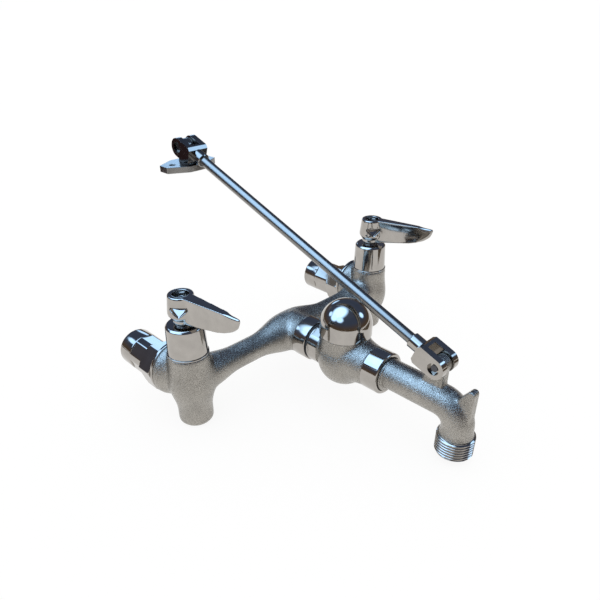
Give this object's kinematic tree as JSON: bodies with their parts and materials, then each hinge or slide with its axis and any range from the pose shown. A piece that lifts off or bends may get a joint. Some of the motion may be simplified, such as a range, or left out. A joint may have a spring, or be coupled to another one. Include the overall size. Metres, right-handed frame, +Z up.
{
  "type": "wall-mounted service sink faucet",
  "caption": "Wall service faucet with lever valves on a cast yoke, eccentric inlets with stops, vacuum breaker, hose-threaded spout with pail hook, and a hinged wall brace.",
  "frame": {"origin": "in the wall plane, midway between the valve inlets, at the height of the valve inlet axes", "axes": "+X to the right when facing the wall, +Y into the wall, +Z up"},
  "size_m": [0.2473, 0.3156, 0.1725],
  "materials": {
    "cast_chrome": "plated rough casting, satin grain",
    "bright_chrome": "polished plating",
    "brass": "machined",
    "steel": "turned",
    "black_rubber": "matt",
    "white_plastic": "moulded"
  },
  "bodies": {
    "yoke": {"yoke_body": "cast_chrome", "yoke_gasket": "black_rubber", "left_bonnet": "bright_chrome", "right_bonnet": "bright_chrome", "left_bonnet_ring": "bright_chrome", "right_bonnet_ring": "bright_chrome", "left_cartridge": "brass", "right_cartridge": "brass", "left_inlet_clip": "steel", "right_inlet_clip": "steel", "breaker_body": "cast_chrome", "breaker_cap": "bright_chrome", "breaker_air_seat": "brass", "spout_nut": "bright_chrome", "spout_washer": "black_rubber", "spout": "cast_chrome"},
    "left_handle": {"left_handle": "bright_chrome", "left_spindle": "brass", "left_handle_screw": "steel"},
    "right_handle": {"right_handle": "bright_chrome", "right_spindle": "brass", "right_handle_screw": "steel"},
    "left_inlet": {"left_inlet": "bright_chrome", "left_inlet_seal": "black_rubber"},
    "right_inlet": {"right_inlet": "bright_chrome", "right_inlet_seal": "black_rubber"},
    "left_stop_washer": {"left_stop_washer": "black_rubber"},
    "left_stop_screw": {"left_stop_screw": "steel"},
    "right_stop_washer": {"right_stop_washer": "black_rubber"},
    "right_stop_screw": {"right_stop_screw": "steel"},
    "breaker_float": {"breaker_float": "white_plastic", "breaker_float_seal": "black_rubber"},
    "lower_clevis": {"lower_clevis": "bright_chrome", "lower_pin": "steel"},
    "upper_clevis": {"upper_clevis": "bright_chrome", "upper_pin": "steel"},
    "brace_rod": {"brace_rod": "bright_chrome"},
    "wall_bracket": {"wall_bracket": "bright_chrome"}
  },
  "joints": [
    {"name": "left_handle_turn", "type": "hinge", "parent": "yoke", "child": "left_handle", "pos_m": [-0.1016, -0.0668, 0.055], "axis": [0, 0, 1], "range_deg": [0, 90]},
    {"name": "left_inlet_turn", "type": "hinge", "parent": "yoke", "child": "left_inlet", "pos_m": [-0.1016, -0.0368, 0], "axis": [0, 1, 0], "range_deg": [-180, 180]},
    {"name": "left_stop_travel", "type": "slide", "parent": "yoke", "child": "left_stop_washer", "axis": [0, 0, 1], "range_m": [0, 0.003]},
    {"name": "left_stop_turn", "type": "hinge", "parent": "left_stop_washer", "child": "left_stop_screw", "pos_m": [-0.1016, -0.0668, -0.03], "axis": [0, 0, 1], "range_deg": [0, 720]},
    {"name": "right_handle_turn", "type": "hinge", "parent": "yoke", "child": "right_handle", "pos_m": [0.1016, -0.0668, 0.055], "axis": [0, 0, 1], "range_deg": [-90, 0]},
    {"name": "right_inlet_turn", "type": "hinge", "parent": "yoke", "child": "right_inlet", "pos_m": [0.1016, -0.0368, 0], "axis": [0, 1, 0], "range_deg": [-180, 180]},
    {"name": "right_stop_travel", "type": "slide", "parent": "yoke", "child": "right_stop_washer", "axis": [0, 0, 1], "range_m": [0, 0.003]},
    {"name": "right_stop_turn", "type": "hinge", "parent": "right_stop_washer", "child": "right_stop_screw", "pos_m": [0.1016, -0.0668, -0.03], "axis": [0, 0, 1], "range_deg": [0, 720]},
    {"name": "float_lift", "type": "slide", "parent": "yoke", "child": "breaker_float", "axis": [0, 0, 1], "range_m": [0, 0.004]},
    {"name": "brace_swing", "type": "hinge", "parent": "yoke", "child": "lower_clevis", "pos_m": [0, -0.2088, 0.03], "axis": [1, 0, 0], "range_deg": [-4, 165]},
    {"name": "brace_length", "type": "slide", "parent": "lower_clevis", "child": "upper_clevis", "axis": [0, 0.9397, 0.342], "range_m": [0, 0.006]},
    {"name": "rod_turn", "type": "hinge", "parent": "upper_clevis", "child": "brace_rod", "pos_m": [0, -0.2088, 0.03], "axis": [0, 0.9397, 0.342], "range_deg": [0, 1440]},
    {"name": "bracket_swing", "type": "hinge", "parent": "upper_clevis", "child": "wall_bracket", "pos_m": [0, 0.05882, 0.12741], "axis": [1, 0, 0], "range_deg": [-4, 220]}
  ],
  "couplings": [
    {"joint": "left_stop_travel", "follows": "left_stop_turn", "m_per_rad": 0.000238},
    {"joint": "right_stop_travel", "follows": "right_stop_turn", "m_per_rad": 0.000238},
    {"joint": "rod_turn", "follows": "brace_length", "rad_per_m": 4188.8}
  ]
}
